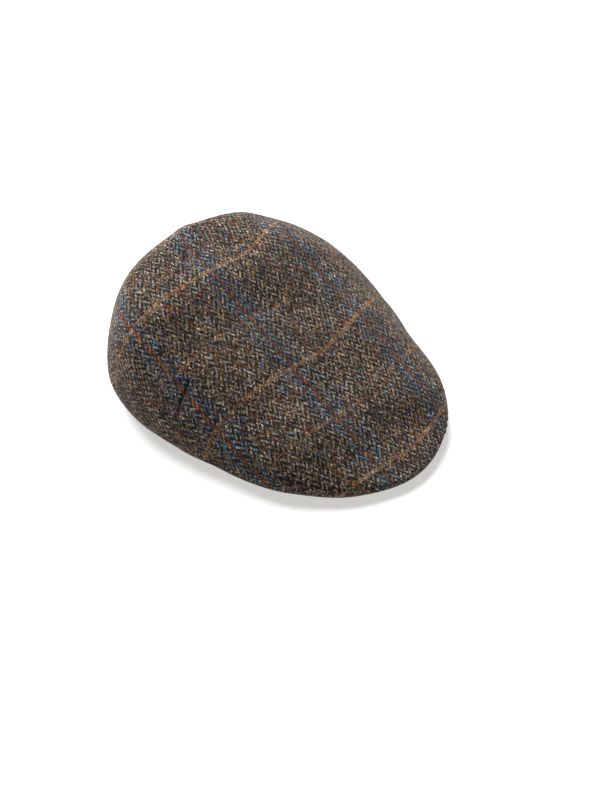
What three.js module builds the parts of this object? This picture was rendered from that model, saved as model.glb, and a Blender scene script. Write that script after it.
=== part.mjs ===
// A duckbill cap in tweed, lying on a table as it rests by itself.
// Millimetres, +Z up, the peak points along -Y, the table is z = 0, the origin is under the middle of the cap.
import * as THREE from "three";
import { mergeVertices } from "three/addons/utils/BufferGeometryUtils.js";

// Driving dimensions
const CLOTH = 2.5; // tweed with its interlining, one wall all over
const HEM = 4; // cloth turned in flat along the rim
const CROWN_BACK = 98; // from the middle of the crown to the back
const PEAK_TIP = 164.5; // from the middle of the crown to the tip of the peak
const SWING = 7.5; // how far the soft cap lets the tip of the peak lie to the right
const SWING_FROM = 40; // the swing starts this far behind the middle of the crown
const MIDDLE_AHEAD = 31.8; // the middle of the whole cap lies this far ahead of the middle of the crown
const MIDDLE_RIGHT = 0.3; // and this far to the right of it, because of the swing
const SEAM_RIDGE = 4.8; // the centre back seam stands out this far
const SEAM_HALF_TURN = 32; // degrees to each side over which the ridge dies out
const PEAK_THICK = 3; // the firm peak in its own tweed
const PEAK_RISE = 21; // its inner edge stands this much higher than its outer edge, in the middle
const PEAK_HALF_TURN = 68; // degrees that it reaches to each side of the tip
const HEAD_FRONT = 105; // from the middle of the crown to the front of the head opening
const HEAD_BACK = 81; // and to its back
const HEAD_HALF_WIDTH = 88;
const GAP = 0.4; // air between the peak and the hem below it

// The cap seen from above: one row for each direction, in degrees round from the back
const PLAN = [
  { turn: 0, reach: CROWN_BACK, tuck: 13, lift: 0 }, // reach of the widest line, how far the rim
  { turn: 25, reach: 96, tuck: 13, lift: 0 }, // tucks in under it, and the rim's height over the table
  { turn: 50, reach: 99, tuck: 13, lift: 2 },
  { turn: 75, reach: 105.5, tuck: 12, lift: 4 },
  { turn: 100, reach: 107, tuck: 9, lift: 3 },
  { turn: 125, reach: 115, tuck: 7, lift: 1 },
  { turn: 150, reach: 143, tuck: 6.5, lift: 0.5 },
  { turn: 165, reach: 157.5, tuck: 6, lift: 0 },
  { turn: 180, reach: PEAK_TIP, tuck: 6, lift: 0 },
];

// The cap seen from the side: one row for each place along it. The sweep runs evenly round a half circle that
// stands on the cap's length, 0 at the back and 180 at the tip, so that both ends close upright.
const SIDE = [
  { sweep: 0, belt: 30, rise: 0, square: 3.2, full: 2.0 }, // belt: height of the widest line
  { sweep: 25, belt: 28.5, rise: 33, square: 3.2, full: 2.0 }, // rise: top of the crown above the belt
  { sweep: 45, belt: 27, rise: 59.5, square: 3.2, full: 2.0 }, // square: how boxy a section is
  { sweep: 65, belt: 22, rise: 61, square: 3.2, full: 2.0 }, // full: how upright its sides are
  { sweep: 85, belt: 16.5, rise: 49.8, square: 3.25, full: 1.95 },
  { sweep: 105, belt: 14.3, rise: 35, square: 3.3, full: 1.9 },
  { sweep: 125, belt: 14, rise: 19.5, square: 3.2, full: 1.9 },
  { sweep: 145, belt: 10.5, rise: 6, square: 3.0, full: 2.15 },
  { sweep: 165, belt: 8, rise: 1.3, square: 2.85, full: 2.3 },
  { sweep: 180, belt: 7.8, rise: 0, square: 2.8, full: 2.4 },
];

// Facets of the meshes
const AROUND = 72; // sectors of the crown
const TOP_RINGS = 16; // from the middle of the top to the widest line
const TUCK_RINGS = 5; // from the widest line to the rim
const PEAK_ACROSS = 28;
const PEAK_DEEP = 7;

const QUARTER = Math.PI / 2;

// The slope of a table's column at a row, flat wherever the column turns back
function slopeAt(rows, key, column, i) {
  const before = rows[i - 1];
  const here = rows[i];
  const after = rows[i + 1];
  if (!before || !after) return 0;
  const widthBefore = here[key] - before[key];
  const widthAfter = after[key] - here[key];
  const slopeBefore = (here[column] - before[column]) / widthBefore;
  const slopeAfter = (after[column] - here[column]) / widthAfter;
  if (slopeBefore * slopeAfter <= 0) return 0;
  const weightBefore = 2 * widthAfter + widthBefore;
  const weightAfter = widthAfter + 2 * widthBefore;
  return (weightBefore + weightAfter) / (weightBefore / slopeBefore + weightAfter / slopeAfter);
}

// A smooth curve through a table's column that never swings past its rows
function along(rows, key, column, at) {
  let i = rows.findIndex((row) => row[key] >= at) - 1;
  if (i < 0) i = at <= rows[0][key] ? 0 : rows.length - 2;
  const width = rows[i + 1][key] - rows[i][key];
  const t = THREE.MathUtils.clamp((at - rows[i][key]) / width, 0, 1);
  const start = rows[i][column];
  const end = rows[i + 1][column];
  const startSlope = slopeAt(rows, key, column, i) * width;
  const endSlope = slopeAt(rows, key, column, i + 1) * width;
  const rest = 1 - t;
  return (
    start * rest * rest * (1 + 2 * t) +
    end * t * t * (3 - 2 * t) +
    startSlope * t * rest * rest -
    endSlope * t * t * rest
  );
}

// A column of the plan in any direction: both sides of the cap are alike
function planAt(turn, column) {
  const folded = Math.abs(((turn % 360) + 540) % 360 - 180);
  return along(PLAN, "turn", column, folded);
}

// The cap's half width at any distance along it, read off the plan's outline
const outline = [];
for (let turn = 0; turn <= 180; turn += 2) {
  const reach = planAt(turn, "reach");
  const angle = THREE.MathUtils.degToRad(turn);
  outline.push({ back: -reach * Math.cos(angle), half: reach * Math.sin(angle) });
}
function halfWidth(y) {
  const i = outline.findIndex((point) => point.back >= -y);
  if (i <= 0) return 0;
  const t = (-y - outline[i - 1].back) / (outline[i].back - outline[i - 1].back);
  return THREE.MathUtils.lerp(outline[i - 1].half, outline[i].half, t);
}

// The outside of the cloth over a place in the plan
function topHeight(x, y) {
  const share = THREE.MathUtils.clamp((CROWN_BACK - y) / (CROWN_BACK + PEAK_TIP), 0, 1);
  const sweep = THREE.MathUtils.radToDeg(Math.acos(1 - 2 * share));
  const half = halfWidth(y);
  const side = half > 0 ? Math.min(Math.abs(x) / half, 1) : 1;
  const square = along(SIDE, "sweep", "square", sweep);
  const full = along(SIDE, "sweep", "full", sweep);
  const bow = Math.pow(1 - Math.pow(side, square), 1 / full);
  return along(SIDE, "sweep", "belt", sweep) + along(SIDE, "sweep", "rise", sweep) * bow;
}

// The ridge of the centre back seam, which dies out sideways, over the top and down to the rim
function seamRidge(turn, r, z) {
  const folded = Math.abs(((turn % 360) + 540) % 360 - 180);
  const beside = Math.max(1 - folded / SEAM_HALF_TURN, 0) ** 1.5;
  const strength = SEAM_RIDGE * beside * THREE.MathUtils.smoothstep(r, 25, 85);
  const back = 0.6 * strength * THREE.MathUtils.smoothstep(z, 0, 30);
  const up = 0.8 * strength * THREE.MathUtils.smoothstep(z, 30, 60);
  return { back, up };
}

// A point on the outside of the cloth. The way down is 0 in the middle of the top, 1 on the widest line,
// 2 where the tucked side meets the flat hem, and 3 at the hem's inner edge.
function outside(turn, down) {
  const angle = THREE.MathUtils.degToRad(turn);
  const reach = planAt(turn, "reach");
  const lift = planAt(turn, "lift");
  const tuck = planAt(turn, "tuck");
  const across = -Math.sin(angle);
  const back = Math.cos(angle);
  let r = reach - tuck - HEM * (down - 2);
  let z = lift;
  if (down <= 1) {
    r = reach * Math.sin(down * QUARTER);
    z = topHeight(r * across, r * back);
  } else if (down <= 2) {
    const bend = (down - 1) * QUARTER;
    const belt = topHeight(reach * across, reach * back);
    r = reach - tuck * (1 - Math.cos(bend));
    z = belt + (lift - belt) * Math.sin(bend);
  }
  const ridge = seamRidge(turn, r, z);
  return new THREE.Vector3(r * across, r * back + ridge.back, z + ridge.up);
}

// The way that the outside of the cloth faces
function facing(turn, down) {
  if (down === 0) return new THREE.Vector3(0, 0, 1);
  if (down >= 2) return new THREE.Vector3(0, 0, -1);
  const step = 0.01;
  const round = outside(turn + 1, down).sub(outside(turn - 1, down));
  const fall = outside(turn, Math.min(down + step, 2)).sub(outside(turn, Math.max(down - step, 0)));
  return fall.cross(round).normalize();
}

// Crown: one cloth shell that runs on over the peak, hollow underneath, with its hem turned in
function crownPoint(turn, down, layer) {
  const place = outside(turn, down);
  if (layer === "outside") return place;
  return place.addScaledVector(facing(turn, down), -CLOTH);
}

const DOWN_RINGS = TOP_RINGS + TUCK_RINGS + 1;
function crownStation(ring) {
  const fromTop = ring <= DOWN_RINGS ? ring : 2 * DOWN_RINGS + 1 - ring;
  const layer = ring <= DOWN_RINGS ? "outside" : "inside";
  if (fromTop <= TOP_RINGS) return { down: fromTop / TOP_RINGS, layer };
  if (fromTop <= TOP_RINGS + TUCK_RINGS) return { down: 1 + (fromTop - TOP_RINGS) / TUCK_RINGS, layer };
  return { down: 3, layer };
}

// Swings the front of the cap to the right, and moves the whole cap over the origin
function settle(place) {
  const ahead = THREE.MathUtils.clamp((SWING_FROM - place.y) / (SWING_FROM + PEAK_TIP), 0, 1);
  place.x += SWING * ahead * ahead - MIDDLE_RIGHT;
  place.y += MIDDLE_AHEAD;
  return place;
}

// Moves each point of a plain closed shape to its place, and joins the points that then meet
function shaped(shape, placeOf) {
  const points = shape.getAttribute("position");
  for (let i = 0; i < points.count; i += 1) {
    const place = settle(placeOf(i, points, shape.getAttribute("uv")));
    points.setXYZ(i, place.x, place.y, place.z);
  }
  shape.deleteAttribute("normal");
  shape.deleteAttribute("uv");
  const joined = mergeVertices(shape, 1e-4);
  joined.computeVertexNormals();
  return joined;
}

function crownGeometry() {
  const rings = 2 * DOWN_RINGS + 1;
  const ball = new THREE.SphereGeometry(1, AROUND, rings);
  return shaped(ball, (i, points, uv) => {
    const ring = Math.round((1 - uv.getY(i)) * rings);
    const sector = Math.round(uv.getX(i) * AROUND - (ring === 0 || ring === rings ? 0.5 : 0));
    const { down, layer } = crownStation(ring);
    return crownPoint((360 * (sector % AROUND)) / AROUND, down, layer);
  });
}

// Peak: a firm crescent under the front of the crown, from just inside the rim to the front of the head opening
function headReach(turn) {
  const angle = THREE.MathUtils.degToRad(turn);
  const middle = (HEAD_BACK - HEAD_FRONT) / 2;
  const halfLength = (HEAD_BACK + HEAD_FRONT) / 2;
  const a = (Math.sin(angle) / HEAD_HALF_WIDTH) ** 2 + (Math.cos(angle) / halfLength) ** 2;
  const b = (-2 * middle * Math.cos(angle)) / halfLength ** 2;
  const c = (middle / halfLength) ** 2 - 1;
  return (-b + Math.sqrt(b * b - 4 * a * c)) / (2 * a);
}

function peakPoint(side, inward, up) {
  const turn = 180 + side * PEAK_HALF_TURN;
  const angle = THREE.MathUtils.degToRad(turn);
  const outer = planAt(turn, "reach") - planAt(turn, "tuck");
  const r = THREE.MathUtils.lerp(outer, headReach(turn), inward);
  const rise = PEAK_RISE * Math.cos(side * QUARTER) * inward;
  const underside = planAt(turn, "lift") + CLOTH + GAP;
  return new THREE.Vector3(-r * Math.sin(angle), r * Math.cos(angle), underside + rise + PEAK_THICK * up);
}

function peakGeometry() {
  const slab = new THREE.BoxGeometry(2, 1, 1, PEAK_ACROSS, PEAK_DEEP, 1);
  return shaped(slab, (i, points) =>
    peakPoint(points.getX(i), points.getY(i) + 0.5, points.getZ(i) + 0.5),
  );
}

// Materials: the same brown and grey tweed on both, the peak's a little darker
const crownTweed = new THREE.MeshStandardMaterial({ color: 0x4b433d, roughness: 0.95, metalness: 0 });
const peakTweed = new THREE.MeshStandardMaterial({ color: 0x3e3732, roughness: 0.95, metalness: 0 });

const cap = new THREE.Group();
cap.name = "tweed_cap";

const crown = new THREE.Mesh(crownGeometry(), crownTweed);
crown.name = "crown";
cap.add(crown);

const peak = new THREE.Mesh(peakGeometry(), peakTweed);
peak.name = "peak";
cap.add(peak);

export default cap;
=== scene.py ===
# The looks of a tweed duckbill cap, on a plain white floor.
import math
import bpy
import numpy as np
from mathutils import Matrix, Vector


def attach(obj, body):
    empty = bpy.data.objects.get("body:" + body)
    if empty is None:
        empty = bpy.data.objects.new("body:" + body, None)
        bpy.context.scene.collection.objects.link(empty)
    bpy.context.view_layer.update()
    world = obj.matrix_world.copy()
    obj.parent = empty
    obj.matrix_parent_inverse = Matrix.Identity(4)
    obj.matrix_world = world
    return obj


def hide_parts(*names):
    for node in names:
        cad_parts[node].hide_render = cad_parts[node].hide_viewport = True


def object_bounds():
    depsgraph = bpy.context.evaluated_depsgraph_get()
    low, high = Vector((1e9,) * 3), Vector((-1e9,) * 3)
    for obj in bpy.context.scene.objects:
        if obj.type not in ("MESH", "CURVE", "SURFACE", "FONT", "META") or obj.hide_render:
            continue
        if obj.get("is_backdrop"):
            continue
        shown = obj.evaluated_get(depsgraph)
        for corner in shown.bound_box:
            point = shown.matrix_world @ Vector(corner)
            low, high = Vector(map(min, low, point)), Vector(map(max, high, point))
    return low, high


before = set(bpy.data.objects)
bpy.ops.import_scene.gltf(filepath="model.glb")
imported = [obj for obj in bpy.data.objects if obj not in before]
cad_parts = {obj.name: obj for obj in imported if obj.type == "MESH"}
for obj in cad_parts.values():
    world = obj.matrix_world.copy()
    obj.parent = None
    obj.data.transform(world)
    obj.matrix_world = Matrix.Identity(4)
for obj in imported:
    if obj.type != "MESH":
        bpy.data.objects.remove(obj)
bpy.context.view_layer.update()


# The camera stands over the near side of the peak and looks down on the cap. The aim is a point of the
# floor under the crown, which stands left of the middle of the frame and above it.
VIEW_TURN = math.radians(-40.3)
VIEW_HEIGHT = math.radians(41.0)
VIEW_DISTANCE = 1.2
AIM = Vector((-0.0003, 0.0218, 0.0))
AIM_PIXEL = (258.6, 371.8)
FRAME_SIZE = (600, 800)
LENS = 74.5
SENSOR = 36.0

towards = Vector((
    math.sin(VIEW_TURN) * math.cos(VIEW_HEIGHT),
    -math.cos(VIEW_TURN) * math.cos(VIEW_HEIGHT),
    math.sin(VIEW_HEIGHT),
))
to_right = Vector((math.cos(VIEW_TURN), math.sin(VIEW_TURN), 0.0))
upwards = towards.cross(to_right)
focal_pixels = LENS / SENSOR * FRAME_SIZE[1]
off_right = (FRAME_SIZE[0] / 2 - AIM_PIXEL[0]) / focal_pixels
off_down = (FRAME_SIZE[1] / 2 - AIM_PIXEL[1]) / focal_pixels
back_axis = (towards - to_right * off_right + upwards * off_down).normalized()
right_axis = (to_right - back_axis * to_right.dot(back_axis)).normalized()
up_axis = back_axis.cross(right_axis)
camera_data = bpy.data.cameras.new("camera")
camera_data.lens = LENS
camera_data.sensor_width = SENSOR
camera = bpy.data.objects.new("camera", camera_data)
bpy.context.scene.collection.objects.link(camera)
turned = Matrix((right_axis, up_axis, back_axis)).transposed().to_4x4()
camera.matrix_world = Matrix.Translation(AIM + towards * VIEW_DISTANCE) @ turned
bpy.context.scene.camera = camera


# The crown is one piece of heavy tweed, steamed to shape, which runs on over the peak. Its rim tucks
# under and ends in a flat hem. A seam closes it up the middle of the back, and a short dart takes in each
# side.
CLOTH = 0.0025
HEM = 0.004
CROWN_BACK = 0.098
PEAK_TIP = 0.1645
SWING = 0.0075
SWING_FROM = 0.040
MIDDLE = Vector((-0.0003, 0.0318, 0.0))
SEAM_RIDGE = 0.0048
SEAM_HALF_TURN = 32.0
SEAM_TAKES = 14.0
DART_TURN = 111.3
DART_TOP = 0.057
FAR_DART_TOP = 0.046
DART_FADE = 0.008
LOW_DART = 0.15

# Lines pressed into the cloth and swellings beside them: how high, and how wide
SEAM_GROOVE = (-0.0009, 0.0010)
SEAM_EDGE = (0.0004, 0.0025)
SEAM_EDGE_BESIDE = 0.0035
DART_GROOVE = (-0.0011, 0.0011)
DART_HOLLOW = (-0.0010, 0.007)
DART_EDGE = (0.0006, 0.0030)
DART_EDGE_BESIDE = 0.0045

# Heights of the soft waves: small ones all over, broad ones all over, and those over the brow
SMALL_WAVE = 0.00035
BROAD_WAVE = 0.00045
BROW_WAVE = 0.0006

# On the far side the cloth was laid a little off its grain
BIAS = 0.4
BIAS_FROM = 0.008
BIAS_EASE = 0.020

# Seen from above, for each direction in degrees round from the back: the reach of the widest line, how far
# the rim tucks in under it, and how high the rim lies over the floor
PLAN = {
    "turn": [0, 25, 50, 75, 100, 125, 150, 165, 180],
    "reach": [CROWN_BACK, 0.096, 0.099, 0.1055, 0.107, 0.115, 0.143, 0.1575, PEAK_TIP],
    "tuck": [0.013, 0.013, 0.013, 0.012, 0.009, 0.007, 0.0065, 0.006, 0.006],
    "lift": [0, 0, 0.002, 0.004, 0.003, 0.001, 0.0005, 0, 0],
}
# Seen from the side, for each place on a half circle over the cap's length, 0 at the back and 180 at the
# tip: the height of the widest line, the top above it, and how boxy and how upright a section is
SIDE = {
    "sweep": [0, 25, 45, 65, 85, 105, 125, 145, 165, 180],
    "belt": [0.030, 0.0285, 0.027, 0.022, 0.0165, 0.0143, 0.014, 0.0105, 0.008, 0.0078],
    "rise": [0, 0.033, 0.0595, 0.061, 0.0498, 0.035, 0.0195, 0.006, 0.0013, 0],
    "square": [3.2, 3.2, 3.2, 3.2, 3.25, 3.3, 3.2, 3.0, 2.85, 2.8],
    "full": [2.0, 2.0, 2.0, 2.0, 1.95, 1.9, 1.9, 2.15, 2.3, 2.4],
}


def smooth(value, start, end):
    """Rises softly from 0 at the start to 1 at the end."""
    share = np.clip((value - start) / (end - start), 0, 1)
    return share * share * (3 - 2 * share)


def along(table, key, column, at):
    """A smooth curve through a table's column that never swings past its rows."""
    keys = np.array(table[key], float)
    values = np.array(table[column], float)
    width = np.diff(keys)
    rise = np.diff(values) / width
    slope = np.zeros(len(keys))
    before = 2 * width[1:] + width[:-1]
    after = width[1:] + 2 * width[:-1]
    runs_on = np.nonzero(rise[:-1] * rise[1:] > 0)[0]
    mean = before[runs_on] / rise[runs_on] + after[runs_on] / rise[runs_on + 1]
    slope[runs_on + 1] = (before + after)[runs_on] / mean
    row = np.clip(np.searchsorted(keys, at, side="right") - 1, 0, len(keys) - 2)
    share = np.clip((at - keys[row]) / width[row], 0, 1)
    rest = 1 - share
    return (
        values[row] * rest**2 * (1 + 2 * share)
        + values[row + 1] * share**2 * (3 - 2 * share)
        + slope[row] * width[row] * share * rest**2
        - slope[row + 1] * width[row] * share**2 * rest
    )


def folded(turn):
    """Degrees from the back, the same on both sides."""
    return np.abs((turn % 360 + 540) % 360 - 180)


def plan_at(turn, column):
    """A column of the plan, in a direction."""
    return along(PLAN, "turn", column, folded(turn))


outline_turns = np.radians(np.arange(0, 181, 2.0))
outline_reach = along(PLAN, "turn", "reach", np.arange(0, 181, 2.0))
outline_y = outline_reach * np.cos(outline_turns)
outline_half = outline_reach * np.sin(outline_turns)


def top_height(x, y):
    """How high the outside of the cloth is over a place in the plan."""
    share = np.clip((CROWN_BACK - y) / (CROWN_BACK + PEAK_TIP), 0, 1)
    sweep = np.degrees(np.arccos(1 - 2 * share))
    half = np.interp(-y, -outline_y, outline_half)
    side = np.where(half > 1e-9, np.minimum(np.abs(x) / np.maximum(half, 1e-9), 1), 1)
    square = along(SIDE, "sweep", "square", sweep)
    full = along(SIDE, "sweep", "full", sweep)
    bow = (1 - side**square) ** (1 / full)
    return along(SIDE, "sweep", "belt", sweep) + along(SIDE, "sweep", "rise", sweep) * bow


def skin(turn, down):
    """The outside of the cloth. The way down is 0 in the middle of the top, 1 on the widest line, 2 at the
    rim and 3 at the hem's inner edge. Here the middle of the crown is the origin and the peak points
    straight ahead."""
    angle = np.radians(turn)
    across = -np.sin(angle)
    back = np.cos(angle)
    reach = plan_at(turn, "reach")
    tuck = plan_at(turn, "tuck")
    lift = plan_at(turn, "lift")
    top_r = reach * np.sin(np.clip(down, 0, 1) * math.pi / 2)
    bend = np.clip(down - 1, 0, 1) * math.pi / 2
    belt = top_height(reach * across, reach * back)
    r = np.where(down <= 1, top_r, reach - tuck * (1 - np.cos(bend)) - HEM * np.clip(down - 2, 0, 1))
    z = np.where(down <= 1, top_height(top_r * across, top_r * back), belt + (lift - belt) * np.sin(bend))
    # The seam lifts the cloth beside it into a soft ridge, outwards low down and upwards near the top
    beside = np.maximum(1 - folded(turn) / SEAM_HALF_TURN, 0) ** 1.5
    ridge = SEAM_RIDGE * beside * smooth(r, 0.025, 0.085)
    back_out = 0.6 * ridge * smooth(z, 0, 0.030)
    up_out = 0.8 * ridge * smooth(z, 0.030, 0.060)
    return np.stack([r * across, r * back + back_out, z + up_out], -1)


def facing(turn, down):
    """The way that the outside of the cloth faces."""
    step = 0.004
    low = np.clip(down - step, 0.001, 2)
    high = np.clip(down + step, 0.001 + step, 2)
    fall = skin(turn, high) - skin(turn, low)
    middle = np.clip(down, 0.001, 2)
    round_it = skin(turn + 0.4, middle) - skin(turn - 0.4, middle)
    way = np.cross(fall, round_it)
    way /= np.linalg.norm(way, axis=-1, keepdims=True)
    way[down >= 2] = (0, 0, -1)
    way[down <= 0.001] = (0, 0, 1)
    return way


def settle(place):
    """Swings the front to the right as the soft cap lies, and moves the cap to its place on the floor."""
    ahead = np.clip((SWING_FROM - place[:, 1]) / (SWING_FROM + PEAK_TIP), 0, 1)
    moved = place + np.array(MIDDLE)
    moved[:, 0] += SWING * ahead**2
    return moved


def sewn_lines(turn, place):
    """How far a place is from the seam and the darts, in metres, and how deep each is there, 0 to 1."""
    x, y, z = place.T
    r = np.hypot(x, y)
    beside_seam = r * np.radians(folded(turn))
    on_back = smooth(r, 0.055, 0.080) * (folded(turn) < 60)
    beside_dart = r * np.radians(folded(turn) - DART_TURN)
    dart_top = np.where(x > 0, FAR_DART_TOP, DART_TOP)
    high_up = LOW_DART + (1 - LOW_DART) * smooth(z, 0.024, 0.042)
    on_dart = smooth(z, dart_top, dart_top - DART_FADE) * high_up
    return beside_seam, on_back, beside_dart, on_dart


def line(beside, height, width):
    """A line in the cloth, seen across it."""
    return height * np.exp(-((beside / width) ** 2))


def relief(turn, down, place):
    """How far the seam, the darts and the soft waves of the cloth stand out of the plain form."""
    x, y = place.T[:2]
    beside_seam, on_back, beside_dart, on_dart = sewn_lines(turn, place)
    seam = line(beside_seam, *SEAM_GROOVE) + line(beside_seam - SEAM_EDGE_BESIDE, *SEAM_EDGE)
    dart = line(beside_dart, *DART_GROOVE) + line(beside_dart, *DART_HOLLOW)
    dart += line(beside_dart - DART_EDGE_BESIDE, *DART_EDGE)
    waves = SMALL_WAVE * np.sin(x / 0.0105 + 1.3 + 1.5 * np.sin(y / 0.021)) * np.sin(y / 0.0125 + 0.6)
    waves += BROAD_WAVE * np.sin(x / 0.019 - y / 0.023 + 2.1)
    over_brow = smooth(y, 0.010, -0.020) * smooth(y, -0.130, -0.100) * smooth(np.abs(x), 0.095, 0.060)
    waves += BROW_WAVE * np.sin((y + 0.075 + 0.2 * x) / 0.0120) * over_brow
    return (seam * on_back + dart * on_dart + waves) * smooth(2.2 - down, 0, 0.5)


def arc(start_y, x, y):
    """The length of the cloth from the line x = 0 to a place, straight over the top."""
    total = np.zeros(len(x))
    last = None
    for share in 1 - (1 - np.linspace(0, 1, 41)) ** 2:
        here = np.stack([x * share, start_y + (y - start_y) * share], -1)
        here = np.column_stack([here, top_height(here[:, 0], here[:, 1])])
        if last is not None:
            total += np.linalg.norm(here - last, axis=1)
        last = here
    return total


def cloth_place(turn, down):
    """Where a place of the crown lies on the flat cloth: across it and along it, in metres. Ahead of the
    middle the cloth hangs over in straight sections. Behind, it spreads from the middle, less what the seam
    takes."""
    shown = np.minimum(down, 1)
    reach = plan_at(turn, "reach")
    bearing = np.radians(turn)
    x = skin(turn, shown)[:, 0]
    y = reach * np.sin(shown * math.pi / 2) * np.cos(bearing)
    side = np.sign(x)
    across = side * arc(y, x, y)
    length_y = np.linspace(-PEAK_TIP, CROWN_BACK, 1201)
    length_z = top_height(length_y * 0, length_y)
    length = np.concatenate([[0], np.cumsum(np.hypot(np.diff(length_y), np.diff(length_z)))])
    length -= np.interp(0, length_y, length)
    forward = np.interp(y, length_y, length)
    spread = arc(0 * y, x, y)
    fold = folded(turn)
    taken = SEAM_TAKES * smooth(spread, 0.025, 0.110)
    angle = np.radians(taken + fold * (90 - taken) / 90)
    behind = smooth(y, -0.015, 0.035)
    across = across * (1 - behind) + side * spread * np.sin(angle) * behind
    forward = forward * (1 - behind) + spread * np.cos(angle) * behind
    belt = top_height(reach * -np.sin(bearing), reach * np.cos(bearing))
    tucked = (belt + 0.5 * plan_at(turn, "tuck")) * np.clip(down - 1, 0, 1) + HEM * np.clip(down - 2, 0, 1)
    across += tucked * -np.sin(bearing)
    forward += tucked * np.cos(bearing)
    over = np.maximum(across - BIAS_FROM, 0)
    bias = BIAS * over**2 / (over + BIAS_EASE)
    return np.stack([across, forward - bias], -1)


# The mesh. Its directions crowd together at the seam and the darts, so that the narrow grooves are fine
AROUND = 384
TOP_RINGS = 96
TUCK_RINGS = 22
HEM_RINGS = 3
INSIDE_TUCK_RINGS = 8
INSIDE_RINGS = 44
CROWDING = 3.5
CROWDED_TURN = 3.5
fine_turns = np.linspace(0, 180, 1801)
crowding = 1 + line(fine_turns, CROWDING, CROWDED_TURN)
crowding += line(fine_turns - DART_TURN, CROWDING, CROWDED_TURN)
crowded = np.concatenate([[0], np.cumsum((crowding[1:] + crowding[:-1]) / 2)])
crowded *= 180 / crowded[-1]
stations = np.concatenate([
    np.linspace(0, 1, TOP_RINGS + 1),
    1 + np.linspace(0, 1, TUCK_RINGS + 1)[1:],
    2 + np.linspace(0, 1, HEM_RINGS + 1)[1:],
])
outside_rings = len(stations)
inside_stations = np.concatenate([
    [3.0, 2.0],
    1 + np.linspace(1, 0, INSIDE_TUCK_RINGS + 1)[1:],
    np.linspace(1, 0, INSIDE_RINGS + 1)[1:],
])
stations = np.concatenate([stations, inside_stations])
RINGS = len(stations) - 1

bpy.ops.object.select_all(action="DESELECT")
bpy.ops.mesh.primitive_uv_sphere_add(segments=AROUND, ring_count=RINGS, radius=1)
crown = bpy.context.active_object
crown.name = "crown_cloth"
mesh = crown.data
ball = np.zeros(len(mesh.vertices) * 3)
mesh.vertices.foreach_get("co", ball)
ball = ball.reshape(-1, 3)
ring = np.rint(np.arccos(np.clip(ball[:, 2], -1, 1)) / math.pi * RINGS).astype(int)
even_turn = np.degrees(np.arctan2(-ball[:, 0], ball[:, 1]))
even_turn[(ring == 0) | (ring == RINGS)] = 0
turn = np.sign(even_turn) * np.interp(np.abs(even_turn), crowded, fine_turns)
down = stations[ring]
is_inside = ring >= outside_rings
plain = skin(turn, down)
way = facing(turn, down)
proud = np.where(is_inside, -CLOTH, relief(turn, down, plain))
crown_points = settle(plain + way * proud[:, None])
mesh.vertices.foreach_set("co", crown_points.ravel())

# The cloth's own coordinates go on the mesh. On the seam a point has two places, one on each side of it.
corner_vertex = np.zeros(len(mesh.loops), int)
mesh.loops.foreach_get("vertex_index", corner_vertex)
face_start = np.zeros(len(mesh.polygons), int)
mesh.polygons.foreach_get("loop_start", face_start)
face_corners = np.zeros(len(mesh.polygons), int)
mesh.polygons.foreach_get("loop_total", face_corners)
face_side = np.sign(np.add.reduceat(plain[corner_vertex, 0], face_start) / face_corners)
nudge = np.where(np.abs(turn) < 1e-6, 1e-4, 0)
left_place = cloth_place(np.where(nudge > 0, nudge, turn), down)
right_place = cloth_place(np.where(nudge > 0, -nudge, turn), down)
corner_side = np.repeat(face_side, face_corners)
corner_cloth = np.where(corner_side[:, None] < 0, left_place[corner_vertex], right_place[corner_vertex])
cloth_map = mesh.uv_layers.active
cloth_map.name = "cloth"
cloth_map.data.foreach_set("uv", corner_cloth.ravel())
# A mask of the grooves of the seam and the darts goes on the mesh too, for painted shade in them
beside_seam, on_back, beside_dart, on_dart = sewn_lines(turn, plain)
groove_shade = on_back * line(beside_seam, 1, SEAM_GROOVE[1]) + on_dart * line(beside_dart, 1, DART_GROOVE[1])
crease_shade_mark = mesh.attributes.new("crease_shade", "FLOAT", "POINT")
crease_shade_mark.data.foreach_set("value", np.where(is_inside, 0, groove_shade))
mesh.update()
bpy.ops.object.shade_smooth()


# Tweed: a two and two herringbone twill. Ends run from front to back and picks across. Light and dark
# yarns cross, all of them flecked. Blue ends gather round each rust pair, and a gold pair of picks and a
# broken brown pair take turns across them.
END = 0.000993
PICK = 0.001346
COLUMN_ENDS = 4
WANDER = 0.00042
WANDER_SCALE = 700.0
ROUNDNESS = 0.6
RUST_END = -19
RUST_REPEAT = 72
RUST_SHOWS = 0.38
DARK_RUST = (0.180, 0.055, 0.018, 1)
BLUE_ENDS = 16
BLUE_MOST = 0.70
NAVY_MOST = 0.20
NAVY = (0.020, 0.036, 0.060, 1)
GOLD_PICK = -53
GOLD_REPEAT = 68
GOLD_SHOWS = 0.14
DULL_GOLD = (0.250, 0.115, 0.045, 1)
BROWN_SHOWS = 0.6
TINT_MOST = 0.08
WARMTH = (1.07, 0.97, 0.90, 1)

weave = bpy.data.node_groups.new("tweed_weave", "ShaderNodeTree")
weave.interface.new_socket("Cloth", in_out="INPUT", socket_type="NodeSocketVector")
weave.interface.new_socket("Crease Shade", in_out="INPUT", socket_type="NodeSocketFloat")
weave.interface.new_socket("Color", in_out="OUTPUT", socket_type="NodeSocketColor")
weave.interface.new_socket("Height", in_out="OUTPUT", socket_type="NodeSocketFloat")
weave_in = weave.nodes.new("NodeGroupInput")
weave_out = weave.nodes.new("NodeGroupOutput")


def calc(operation, *values):
    """One step of arithmetic in the weave."""
    node = weave.nodes.new("ShaderNodeMath")
    node.operation = operation
    for socket, value in zip(node.inputs, values):
        if isinstance(value, (int, float)):
            socket.default_value = value
        else:
            weave.links.new(value, socket)
    return node.outputs[0]


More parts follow.
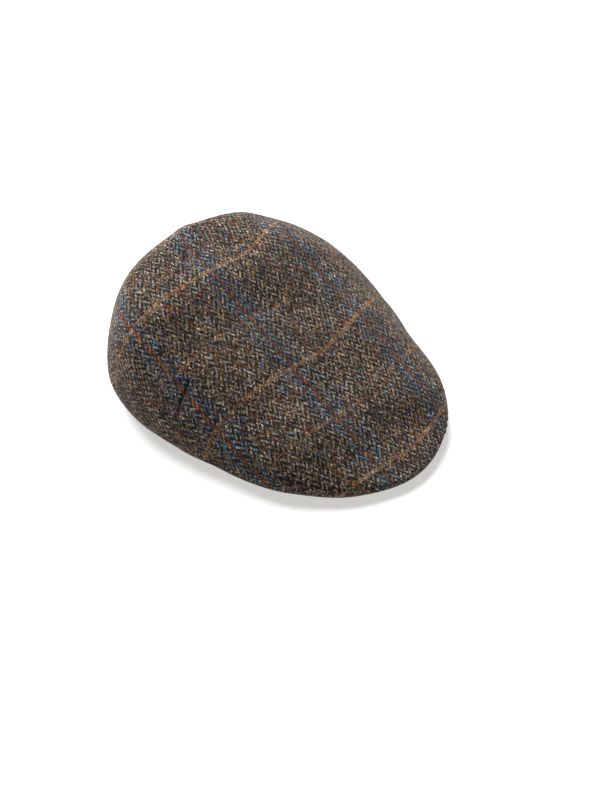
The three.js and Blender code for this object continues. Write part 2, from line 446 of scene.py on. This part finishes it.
def blend(share, first, second, kind="MIX"):
    """Mixes two colours of the weave. A share of 1 gives the second."""
    node = weave.nodes.new("ShaderNodeMix")
    node.data_type = "RGBA"
    node.blend_type = kind
    for socket, value in zip((node.inputs[0], node.inputs[6], node.inputs[7]), (share, first, second)):
        if isinstance(value, (int, float, tuple)):
            socket.default_value = value
        else:
            weave.links.new(value, socket)
    return node.outputs[2]


def paired(x, y):
    """A point of the cloth from its two numbers."""
    pair = weave.nodes.new("ShaderNodeCombineXYZ")
    weave.links.new(x, pair.inputs[0])
    weave.links.new(y, pair.inputs[1])
    return pair.outputs[0]


def chance(yarn, part, seed):
    """A value from 0 to 1 for each part of each yarn."""
    node = weave.nodes.new("ShaderNodeTexWhiteNoise")
    node.noise_dimensions = "3D"
    shifted = weave.nodes.new("ShaderNodeVectorMath")
    shifted.operation = "ADD"
    weave.links.new(paired(yarn, part), shifted.inputs[0])
    shifted.inputs[1].default_value = (0, 0, seed)
    weave.links.new(shifted.outputs[0], node.inputs["Vector"])
    return node.outputs["Value"]


def speckle(x, y, scale, detail=0.0):
    """Soft noise at a place of the cloth, from about -1 to 1."""
    node = weave.nodes.new("ShaderNodeTexNoise")
    node.noise_dimensions = "2D"
    node.inputs["Scale"].default_value = scale
    node.inputs["Detail"].default_value = detail
    weave.links.new(paired(x, y), node.inputs["Vector"])
    return calc("MULTIPLY_ADD", node.outputs["Fac"], 2.0, -1.0)


def yarn_colours(value, stops):
    """The colours of a set of yarns, each from its own share of the numbers."""
    node = weave.nodes.new("ShaderNodeValToRGB")
    ramp = node.color_ramp
    ramp.interpolation = "CONSTANT"
    for number, (position, colour) in enumerate(stops):
        if number < 2:
            ramp.elements[number].position = position
            ramp.elements[number].color = (*colour, 1)
        else:
            ramp.elements.new(position).color = (*colour, 1)
    weave.links.new(value, node.inputs[0])
    return node.outputs[0]


def arched(share):
    """Rises and falls over a share from 0 to 1, rounder than a sine."""
    return calc("POWER", calc("SINE", calc("MULTIPLY", share, math.pi)), ROUNDNESS)


def parts(yarn, along_it, seed, often):
    """Numbers the parts that a yarn is dyed in. Each yarn's parts start at a place of their own."""
    shift = calc("MULTIPLY", chance(yarn, yarn, seed), 9.0)
    return calc("FLOOR", calc("MULTIPLY_ADD", along_it, often, shift))


# The yarns wander a little from straight lines
split = weave.nodes.new("ShaderNodeSeparateXYZ")
weave.links.new(weave_in.outputs["Cloth"], split.inputs[0])
flat_u = split.outputs[0]
flat_v = split.outputs[1]
cloth_u = calc("MULTIPLY_ADD", speckle(flat_u, flat_v, WANDER_SCALE), WANDER, flat_u)
cloth_v = calc("MULTIPLY_ADD", speckle(flat_v, flat_u, WANDER_SCALE), WANDER, flat_v)
end_at = calc("DIVIDE", cloth_u, END)
pick_at = calc("DIVIDE", cloth_v, PICK)
end_number = calc("FLOOR", end_at)
pick_number = calc("FLOOR", pick_at)
in_end = calc("FRACT", end_at)
in_pick = calc("FRACT", pick_at)

# The draft steps one pick for each end and turns back at each column
end_in_repeat = calc("FLOORED_MODULO", calc("ADD", end_number, float(COLUMN_ENDS)), 2.0 * COLUMN_ENDS)
second_column = calc("GREATER_THAN", end_in_repeat, COLUMN_ENDS - 0.5)
falling = calc("SUBTRACT", 2.0 * COLUMN_ENDS + 1.0, end_in_repeat)
turned_step = calc("MULTIPLY", second_column, calc("SUBTRACT", falling, end_in_repeat))
draft_step = calc("ADD", end_in_repeat, turned_step)
in_draft = calc("FLOORED_MODULO", calc("SUBTRACT", pick_number, draft_step), 4.0)
end_on_top = calc("LESS_THAN", in_draft, 1.5)

# Each float is a short round stroke that dives under at both its ends
end_share = calc("DIVIDE", calc("ADD", in_draft, in_pick), 2.0)
rising_share = calc("DIVIDE", calc("ADD", calc("SUBTRACT", 3.0, in_draft), in_end), 2.0)
falling_share = calc("DIVIDE", calc("ADD", calc("SUBTRACT", in_draft, 2.0), in_end), 2.0)
turned_share = calc("SUBTRACT", falling_share, rising_share)
pick_share = calc("MULTIPLY_ADD", second_column, turned_share, rising_share)
end_height = calc("MULTIPLY", arched(end_share), arched(in_end))
pick_height = calc("MULTIPLY", arched(pick_share), arched(in_pick))
height = calc("MULTIPLY_ADD", end_on_top, calc("SUBTRACT", end_height, pick_height), pick_height)
fibres = speckle(cloth_u, cloth_v, 1500.0, 2.0)
fuzzy_height = calc("MULTIPLY_ADD", fibres, 0.35, height)

# The ends are flecked along their length, and mostly light. The picks are mostly dark.
end_part = parts(end_number, pick_at, 0.5, 0.55)
end_colour = yarn_colours(chance(end_number, end_part, 1.5), [
    (0.00, (0.345, 0.325, 0.250)),
    (0.14, (0.295, 0.240, 0.145)),
    (0.27, (0.230, 0.225, 0.200)),
    (0.44, (0.175, 0.148, 0.105)),
    (0.56, (0.145, 0.145, 0.160)),
    (0.67, (0.140, 0.068, 0.028)),
    (0.76, (0.030, 0.022, 0.020)),
    (0.84, (0.290, 0.140, 0.040)),
    (0.90, (0.220, 0.055, 0.018)),
    (0.95, (0.070, 0.150, 0.290)),
])
pick_part = parts(pick_number, end_at, 2.5, 0.45)
pick_colour = yarn_colours(chance(pick_number, pick_part, 3.5), [
    (0.00, (0.006, 0.006, 0.007)),
    (0.32, (0.014, 0.015, 0.021)),
    (0.47, (0.026, 0.018, 0.012)),
    (0.63, (0.070, 0.045, 0.026)),
    (0.75, (0.150, 0.118, 0.088)),
    (0.90, (0.032, 0.046, 0.078)),
    (0.96, (0.170, 0.075, 0.025)),
])

# Blue flecks gather in the ends on both sides of each rust pair, over darker picks, and the picks that
# cross the pair take on some of its rust
from_band_start = calc("ADD", end_number, float(BLUE_ENDS - RUST_END))
from_band = calc("FLOORED_MODULO", from_band_start, float(RUST_REPEAT))
rust_far = calc("ABSOLUTE", calc("SUBTRACT", from_band, BLUE_ENDS + 0.5))
blue_share = calc("SUBTRACT", BLUE_MOST, calc("MULTIPLY", rust_far, BLUE_MOST / BLUE_ENDS))
blue_here = calc("LESS_THAN", chance(end_number, end_part, 4.5), blue_share)
blue_colour = yarn_colours(chance(end_number, end_part, 5.5), [
    (0.00, (0.075, 0.180, 0.310)),
    (0.36, (0.055, 0.100, 0.155)),
    (0.54, (0.155, 0.275, 0.370)),
    (0.80, (0.140, 0.160, 0.175)),
])
end_colour = blend(blue_here, end_colour, blue_colour)
rust_here = calc("LESS_THAN", rust_far, 1.0)
rust_colour = yarn_colours(chance(end_number, end_part, 6.5), [
    (0.00, (0.350, 0.105, 0.030)),
    (0.45, (0.240, 0.062, 0.020)),
    (0.76, (0.120, 0.050, 0.030)),
])
end_colour = blend(rust_here, end_colour, rust_colour)
navy_share = calc("MULTIPLY", calc("MAXIMUM", blue_share, 0.0), NAVY_MOST)
pick_colour = blend(navy_share, pick_colour, NAVY)
pick_colour = blend(calc("MULTIPLY", rust_here, RUST_SHOWS), pick_colour, DARK_RUST)

# Each repeat has a gold pair of picks, and midway a brown pair that shows only in places
from_first_gold = calc("SUBTRACT", pick_number, float(GOLD_PICK))
from_gold = calc("FLOORED_MODULO", from_first_gold, float(GOLD_REPEAT))
gold_here = calc("LESS_THAN", from_gold, 1.5)
gold_colour = yarn_colours(chance(pick_number, pick_part, 7.5), [
    (0.00, (0.340, 0.165, 0.055)),
    (0.45, (0.270, 0.105, 0.030)),
    (0.68, (0.360, 0.210, 0.090)),
    (0.88, (0.150, 0.090, 0.050)),
])
pick_colour = blend(gold_here, pick_colour, gold_colour)
end_colour = blend(calc("MULTIPLY", gold_here, GOLD_SHOWS), end_colour, DULL_GOLD)
from_brown = calc("ABSOLUTE", calc("SUBTRACT", from_gold, GOLD_REPEAT / 2 + 0.5))
in_brown_pair = calc("LESS_THAN", from_brown, 1.0)
brown_left = calc("GREATER_THAN", chance(pick_number, pick_part, 9.5), 1.0 - BROWN_SHOWS)
brown_here = calc("MULTIPLY", in_brown_pair, brown_left)
brown_colour = yarn_colours(chance(pick_number, pick_part, 8.5), [
    (0.00, (0.270, 0.105, 0.032)),
    (0.65, (0.150, 0.075, 0.035)),
])
pick_colour = blend(brown_here, pick_colour, brown_colour)

# Each float has a slight tint of its own. Painted shade darkens it where it dives under, between the yarns,
# and in the grooves of the seam and the darts, and its tone goes lighter and darker in soft patches all
# over the cloth
woven = blend(end_on_top, pick_colour, end_colour)
tint = weave.nodes.new("ShaderNodeTexWhiteNoise")
tint.noise_dimensions = "2D"
weave.links.new(paired(end_number, pick_number), tint.inputs["Vector"])
dyed = blend(1.0, woven, tint.outputs["Color"], "MULTIPLY")
woven = blend(TINT_MOST, woven, blend(1.0, dyed, (2.0, 2.0, 2.0, 1), "MULTIPLY"))
woven = blend(1.0, woven, WARMTH, "MULTIPLY")
mottle = calc("MULTIPLY_ADD", speckle(flat_u, flat_v, 55.0), 0.28, 1.02)
mottle = calc("MULTIPLY_ADD", speckle(flat_v, flat_u, 150.0), 0.40, mottle)
# Painted shade: the colour darkens with the height of each float, darkest where it dives under between the
# yarns
painted_crevice_shade = calc("MULTIPLY", height, 1.10)
tuft = calc("MULTIPLY_ADD", chance(end_number, pick_number, 11.5), 1.15, 0.28)
fleck = calc("MULTIPLY", calc("MULTIPLY_ADD", fibres, 1.5, 1.0), tuft)
# Painted shade in the grooves of the seam and the darts, from the mask on the mesh
painted_seam_shade = calc("MULTIPLY_ADD", weave_in.outputs["Crease Shade"], -0.75, 1.0)
tone_and_painted_shade = calc("MULTIPLY", mottle, painted_seam_shade)
# Painted shade from the crevices and the seam grooves, times the fibre flecks and the soft patches of tone,
# darkens the weave's colour
painted_shade_and_tone = calc("MAXIMUM", calc("MULTIPLY", calc("MULTIPLY", painted_crevice_shade, fleck), tone_and_painted_shade), 0.02)
painted_shade_and_tone_colour = weave.nodes.new("ShaderNodeCombineColor")
for socket in painted_shade_and_tone_colour.inputs:
    weave.links.new(painted_shade_and_tone, socket)
woven = blend(1.0, woven, painted_shade_and_tone_colour.outputs[0], "MULTIPLY")
weave.links.new(woven, weave_out.inputs["Color"])
weave.links.new(fuzzy_height, weave_out.inputs["Height"])


def tweed(name, relief_depth, sheen):
    """A tweed material on a piece's cloth map."""
    material = bpy.data.materials.new(name)
    material.use_nodes = True
    nodes = material.node_tree.nodes
    links = material.node_tree.links
    shader = nodes["Principled BSDF"]
    shader.inputs["Roughness"].default_value = 0.95
    shader.inputs["Specular IOR Level"].default_value = 0.15
    shader.inputs["Sheen Weight"].default_value = sheen
    shader.inputs["Sheen Roughness"].default_value = 0.28
    shader.inputs["Sheen Tint"].default_value = (0.80, 0.74, 0.68, 1)
    cloth_uv = nodes.new("ShaderNodeUVMap")
    cloth_uv.uv_map = "cloth"
    pattern = nodes.new("ShaderNodeGroup")
    pattern.node_tree = weave
    links.new(cloth_uv.outputs[0], pattern.inputs["Cloth"])
    # The mask for the painted shade in the seam and dart grooves
    crease_shade = nodes.new("ShaderNodeAttribute")
    crease_shade.attribute_name = "crease_shade"
    links.new(crease_shade.outputs["Fac"], pattern.inputs["Crease Shade"])
    bump = nodes.new("ShaderNodeBump")
    bump.inputs["Strength"].default_value = 1.0
    bump.inputs["Distance"].default_value = relief_depth
    links.new(pattern.outputs["Height"], bump.inputs["Height"])
    links.new(pattern.outputs["Color"], shader.inputs["Base Color"])
    links.new(bump.outputs[0], shader.inputs["Normal"])
    return material


crown.data.materials.append(tweed("crown_tweed", relief_depth=0.0004, sheen=0.12))
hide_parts("crown")
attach(crown, "root")


# Loose wool fibres stand off the tweed all over, most of them lying along it. Each is a thin bent hair
# with its root in the cloth. None has its root close to the floor, and none goes under it.
HAIRS = 9000
HAIR_LENGTH = (0.0015, 0.0045)
HAIR_RADIUS = 0.000034
HAIR_RISE = (0.0005, 0.0022)
HAIR_CURL = 0.35
HAIR_RINGS = 3
LOWEST_ROOT = 0.005
LAST_DOWN = 1.5
ROOT_SCATTER = 0.0006
ROOT_DEPTH = 0.0003

chances = np.random.default_rng(11)
mesh = crown.data
face_area = np.zeros(len(mesh.polygons))
mesh.polygons.foreach_get("area", face_area)
face_middle = np.zeros(len(mesh.polygons) * 3)
mesh.polygons.foreach_get("center", face_middle)
face_middle = face_middle.reshape(-1, 3)
face_normal = np.zeros(len(mesh.polygons) * 3)
mesh.polygons.foreach_get("normal", face_normal)
face_normal = face_normal.reshape(-1, 3)
face_down = np.add.reduceat(down[corner_vertex], face_start) / face_corners
face_inside = np.add.reduceat(is_inside[corner_vertex].astype(float), face_start) > 0
bare = face_inside | (face_down > LAST_DOWN) | (face_middle[:, 2] < LOWEST_ROOT)
shown_area = np.where(bare, 0, face_area)

# The ball's faces come in another order each run, so the draw takes them in the order of their corners
lowest = np.minimum.reduceat(corner_vertex, face_start)
highest = np.maximum.reduceat(corner_vertex, face_start)
corner_sum = np.add.reduceat(corner_vertex, face_start)
steady = np.lexsort((corner_sum, highest, lowest))
steady_area = shown_area[steady]
root_face = steady[chances.choice(len(steady), HAIRS, p=steady_area / steady_area.sum())]
normal = face_normal[root_face]
root = face_middle[root_face] + chances.normal(0, ROOT_SCATTER, (HAIRS, 3)) - normal * ROOT_DEPTH
heading = chances.normal(size=(HAIRS, 3))
heading -= normal * (heading * normal).sum(1, keepdims=True)
heading /= np.linalg.norm(heading, axis=1, keepdims=True)
sideways = np.cross(normal, heading)
hair_length = chances.uniform(*HAIR_LENGTH, HAIRS)[:, None]
hair_rise = (HAIR_RISE[0] + chances.random(HAIRS) ** 3 * (HAIR_RISE[1] - HAIR_RISE[0]))[:, None]
hair_curl = chances.normal(0, HAIR_CURL, HAIRS)[:, None]
hair_points = []
for step in range(HAIR_RINGS + 1):
    share = step / HAIR_RINGS
    middle = root + heading * hair_length * share + sideways * hair_length * hair_curl * share**2
    middle = middle + normal * hair_rise * 1.6 * share * (1.7 - share)
    if step == HAIR_RINGS:
        hair_points.append(middle[:, None])
        continue
    radius = HAIR_RADIUS * (1 - 0.5 * share)
    corners = []
    for corner in range(3):
        round_turn = corner * math.tau / 3
        corners.append(middle + radius * (sideways * math.cos(round_turn) + normal * math.sin(round_turn)))
    hair_points.append(np.stack(corners, 1))
hair_points = np.concatenate(hair_points, 1)
hair_points[:, :, 2] = np.maximum(hair_points[:, :, 2], HAIR_RADIUS)
hair_faces = [(2, 1, 0)]
for step in range(HAIR_RINGS - 1):
    for corner in range(3):
        beside = (corner + 1) % 3
        low = 3 * step
        hair_faces.append((low + corner, low + beside, low + 3 + beside))
        hair_faces.append((low + corner, low + 3 + beside, low + 3 + corner))
tip = 3 * HAIR_RINGS
for corner in range(3):
    hair_faces.append((tip - 3 + corner, tip - 3 + (corner + 1) % 3, tip))
all_faces = np.arange(HAIRS)[:, None, None] * (tip + 1) + np.array(hair_faces)
hair_mesh = bpy.data.meshes.new("crown_fuzz")
hair_mesh.from_pydata(hair_points.reshape(-1, 3).tolist(), [], all_faces.reshape(-1, 3).tolist())
hair_mesh.update()
fuzz = bpy.data.objects.new("crown_fuzz", hair_mesh)
bpy.context.scene.collection.objects.link(fuzz)
wool = bpy.data.materials.new("loose_wool")
wool.use_nodes = True
wool_shader = wool.node_tree.nodes["Principled BSDF"]
wool_shader.inputs["Roughness"].default_value = 0.7
wool_shader.inputs["Specular IOR Level"].default_value = 0.3
hair_place = wool.node_tree.nodes.new("ShaderNodeTexCoord")
hair_noise = wool.node_tree.nodes.new("ShaderNodeTexNoise")
hair_noise.inputs["Scale"].default_value = 400.0
hair_tone = wool.node_tree.nodes.new("ShaderNodeValToRGB")
hair_tone.color_ramp.elements[0].position = 0.40
hair_tone.color_ramp.elements[0].color = (0.060, 0.050, 0.045, 1)
hair_tone.color_ramp.elements[1].position = 0.56
hair_tone.color_ramp.elements[1].color = (0.420, 0.350, 0.270, 1)
wool.node_tree.links.new(hair_place.outputs["Object"], hair_noise.inputs["Vector"])
wool.node_tree.links.new(hair_noise.outputs["Fac"], hair_tone.inputs[0])
wool.node_tree.links.new(hair_tone.outputs[0], wool_shader.inputs["Base Color"])
fuzz.data.materials.append(wool)
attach(fuzz, "root")


# The peak is a firm crescent in its own tweed under the front of the crown. Its inner edge stands higher
# than its outer one, round the wearer's forehead, and its corners are soft.
PEAK_THICK = 0.003
PEAK_RISE = 0.021
PEAK_HALF_TURN = 68.0
HEAD_FRONT = 0.105
HEAD_BACK = 0.081
HEAD_HALF_WIDTH = 0.088
GAP = 0.0004
PEAK_ACROSS = 140
PEAK_DEEP = 26


def head_reach(turn):
    """How far the opening for the head reaches from the middle of the crown."""
    angle = np.radians(turn)
    middle = (HEAD_BACK - HEAD_FRONT) / 2
    half_length = (HEAD_BACK + HEAD_FRONT) / 2
    a = (np.sin(angle) / HEAD_HALF_WIDTH) ** 2 + (np.cos(angle) / half_length) ** 2
    b = -2 * middle * np.cos(angle) / half_length**2
    c = (middle / half_length) ** 2 - 1
    return (-b + np.sqrt(b * b - 4 * a * c)) / (2 * a)


bpy.ops.object.select_all(action="DESELECT")
bpy.ops.mesh.primitive_grid_add(x_subdivisions=PEAK_ACROSS, y_subdivisions=PEAK_DEEP, size=2)
peak = bpy.context.active_object
peak.name = "peak_cloth"
mesh = peak.data
flat = np.zeros(len(mesh.vertices) * 3)
mesh.vertices.foreach_get("co", flat)
flat = flat.reshape(-1, 3)
peak_turn = 180 + flat[:, 0] * PEAK_HALF_TURN
inward = (flat[:, 1] + 1) / 2
outer = plan_at(peak_turn, "reach") - plan_at(peak_turn, "tuck")
r = outer + (head_reach(peak_turn) - outer) * inward
underside = plan_at(peak_turn, "lift") + CLOTH + GAP
rise = PEAK_RISE * np.cos(flat[:, 0] * math.pi / 2) * inward
angle = np.radians(peak_turn)
peak_plain = np.stack([-r * np.sin(angle), r * np.cos(angle), underside + rise], -1)
mesh.vertices.foreach_set("co", settle(peak_plain).ravel())
corner_vertex = np.zeros(len(mesh.loops), int)
mesh.loops.foreach_get("vertex_index", corner_vertex)
mesh.uv_layers.active.name = "cloth"
mesh.uv_layers.active.data.foreach_set("uv", peak_plain[corner_vertex, :2].ravel())
mesh.update()
thickness = peak.modifiers.new("thickness", "SOLIDIFY")
thickness.thickness = PEAK_THICK
thickness.offset = 1
rounding = peak.modifiers.new("rounding", "BEVEL")
rounding.width = 0.0010
rounding.segments = 3
rounding.limit_method = "ANGLE"
rounding.angle_limit = math.radians(50)
for modifier in ("thickness", "rounding"):
    bpy.ops.object.modifier_apply(modifier=modifier)
bpy.ops.object.shade_smooth()
peak.data.materials.append(tweed("peak_tweed", relief_depth=0.0003, sheen=0.1))
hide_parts("peak")
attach(peak, "root")


# The floor is a plain white sweep that glows a little, and the light is a bright studio: a broad soft lamp
# behind the cap, a weak low one on the camera's side, and a little light from all round.
bpy.ops.object.select_all(action="DESELECT")
bpy.ops.mesh.primitive_plane_add(size=60, location=(0, 0, 0))
floor = bpy.context.active_object
floor.name = "table"
white = bpy.data.materials.new("white_table")
white.use_nodes = True
white_shader = white.node_tree.nodes["Principled BSDF"]
white_shader.inputs["Base Color"].default_value = (0.46, 0.46, 0.46, 1)
white_shader.inputs["Roughness"].default_value = 0.9
white_shader.inputs["Emission Color"].default_value = (1.0, 0.99, 0.96, 1)
white_shader.inputs["Emission Strength"].default_value = 0.54
floor.data.materials.append(white)
floor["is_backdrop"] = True

studio = bpy.data.worlds.new("studio")
studio.use_nodes = True
studio_nodes = studio.node_tree.nodes
dim = studio_nodes["Background"]
dim.inputs["Color"].default_value = (1, 1, 1, 1)
dim.inputs["Strength"].default_value = 0.12
backdrop = studio_nodes.new("ShaderNodeBackground")
backdrop.inputs["Color"].default_value = (1, 1, 1, 1)
backdrop.inputs["Strength"].default_value = 1.0
seen = studio_nodes.new("ShaderNodeLightPath")
choice = studio_nodes.new("ShaderNodeMixShader")
studio.node_tree.links.new(seen.outputs["Is Camera Ray"], choice.inputs[0])
studio.node_tree.links.new(dim.outputs[0], choice.inputs[1])
studio.node_tree.links.new(backdrop.outputs[0], choice.inputs[2])
studio.node_tree.links.new(choice.outputs[0], studio_nodes["World Output"].inputs["Surface"])
bpy.context.scene.world = studio
bpy.context.scene.view_settings.view_transform = "Standard"

for name, power, spread, way in (
    ("key", 12.0, 50, (-0.22, -0.76, -0.62)),
    ("fill", 0.6, 60, (0.75, 0.62, -0.12)),
):
    lamp_data = bpy.data.lights.new(name, "SUN")
    lamp_data.energy = power
    lamp_data.angle = math.radians(spread)
    lamp = bpy.data.objects.new(name, lamp_data)
    lamp.rotation_euler = Vector(way).to_track_quat("-Z", "Y").to_euler()
    bpy.context.scene.collection.objects.link(lamp)

low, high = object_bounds()
